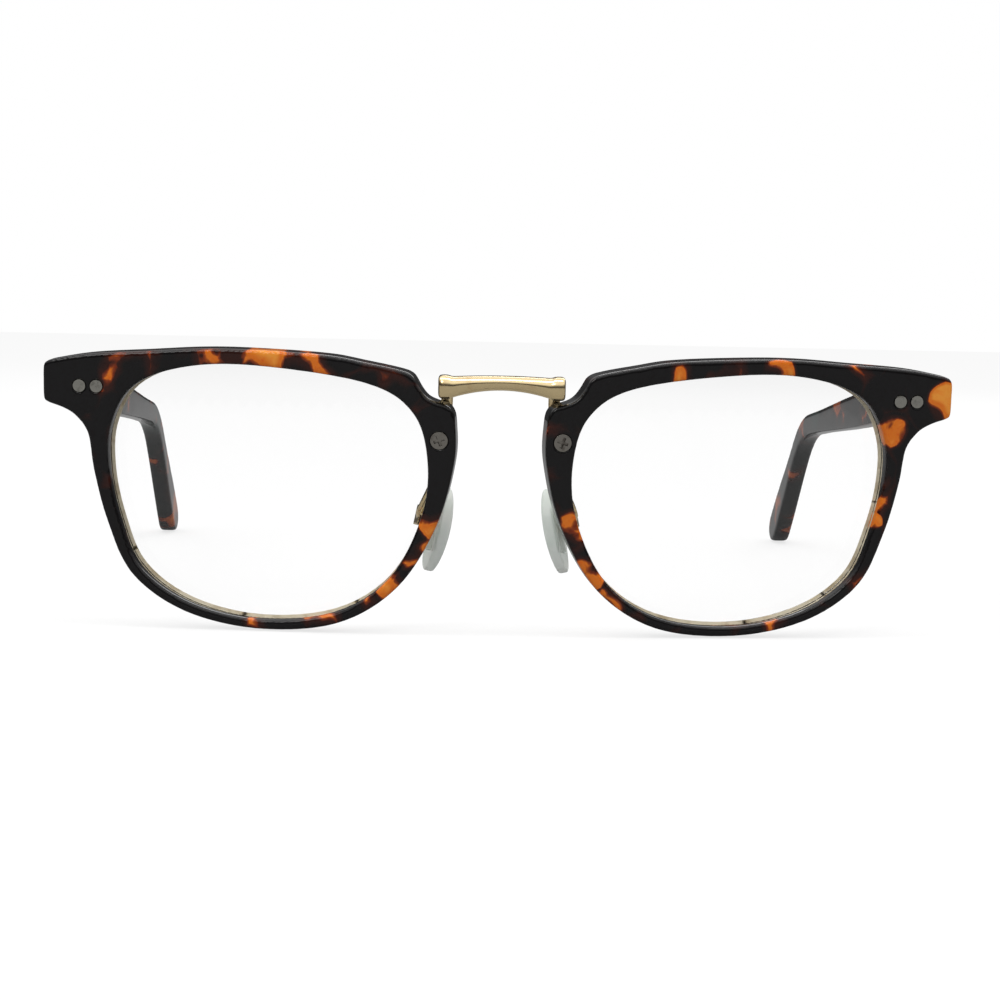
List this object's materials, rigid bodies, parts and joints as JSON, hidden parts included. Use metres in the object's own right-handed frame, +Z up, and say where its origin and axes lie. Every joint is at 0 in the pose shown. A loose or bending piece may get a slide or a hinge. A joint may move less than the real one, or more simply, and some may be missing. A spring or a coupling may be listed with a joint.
{
  "type": "spectacles",
  "caption": "Spectacles with plastic rims joined by a metal bridge, clear lenses, folding temples on riveted hinges and rocking nose pads.",
  "frame": {"origin": "middle of the bounding box, on the table under the open glasses", "axes": "+X to the wearer's left, +Y from the front back to the temple tips, +Z up from the table. The glasses stand open, on both rims and both temple tips"},
  "size_m": [0.1394, 0.157, 0.0434],
  "materials": {
    "tortoise": "polished tortoiseshell-patterned plastic",
    "lens": "clear polished plastic",
    "gold": "polished pale gold plating",
    "steel": "nickel plated",
    "rivet": "matte grey",
    "pad": "translucent silicone",
    "pad_core": "clear hard plastic insert"
  },
  "bodies": {
    "front": {"rim_left": "tortoise", "rim_right": "tortoise", "lens_left": "lens", "lens_right": "lens", "bridge": "gold", "bridge_screw_left": "steel", "bridge_screw_right": "steel", "front_hinge_left": "steel", "front_hinge_right": "steel", "front_rivets_left": "rivet", "front_rivets_right": "rivet", "hinge_screw_left": "steel", "hinge_screw_right": "steel", "pad_arm_left": "gold", "pad_arm_right": "gold", "pad_screw_left": "gold", "pad_screw_right": "gold"},
    "left_temple": {"temple_left": "tortoise", "temple_hinge_left": "steel", "temple_rivets_left": "rivet"},
    "right_temple": {"temple_right": "tortoise", "temple_hinge_right": "steel", "temple_rivets_right": "rivet"},
    "left_pad": {"nose_pad_left": "pad", "pad_core_left": "pad_core"},
    "right_pad": {"nose_pad_right": "pad", "pad_core_right": "pad_core"}
  },
  "joints": [
    {"name": "left_fold", "type": "hinge", "parent": "front", "child": "left_temple", "pos_m": [0.06458, -0.06161, 0.03752], "axis": [0, 0.083, 0.9965], "range_deg": [0, 88.3]},
    {"name": "right_fold", "type": "hinge", "parent": "front", "child": "right_temple", "pos_m": [-0.06458, -0.06161, 0.03752], "axis": [0, -0.083, -0.9965], "range_deg": [0, 91.7]},
    {"name": "left_pad_rock", "type": "hinge", "parent": "front", "child": "left_pad", "pos_m": [0.01055, -0.06504, 0.01719], "axis": [0.2419, 0.9669, -0.0805], "range_deg": [-8, 8]},
    {"name": "right_pad_rock", "type": "hinge", "parent": "front", "child": "right_pad", "pos_m": [-0.01055, -0.06504, 0.01719], "axis": [-0.2419, 0.9669, -0.0805], "range_deg": [-8, 8]}
  ]
}
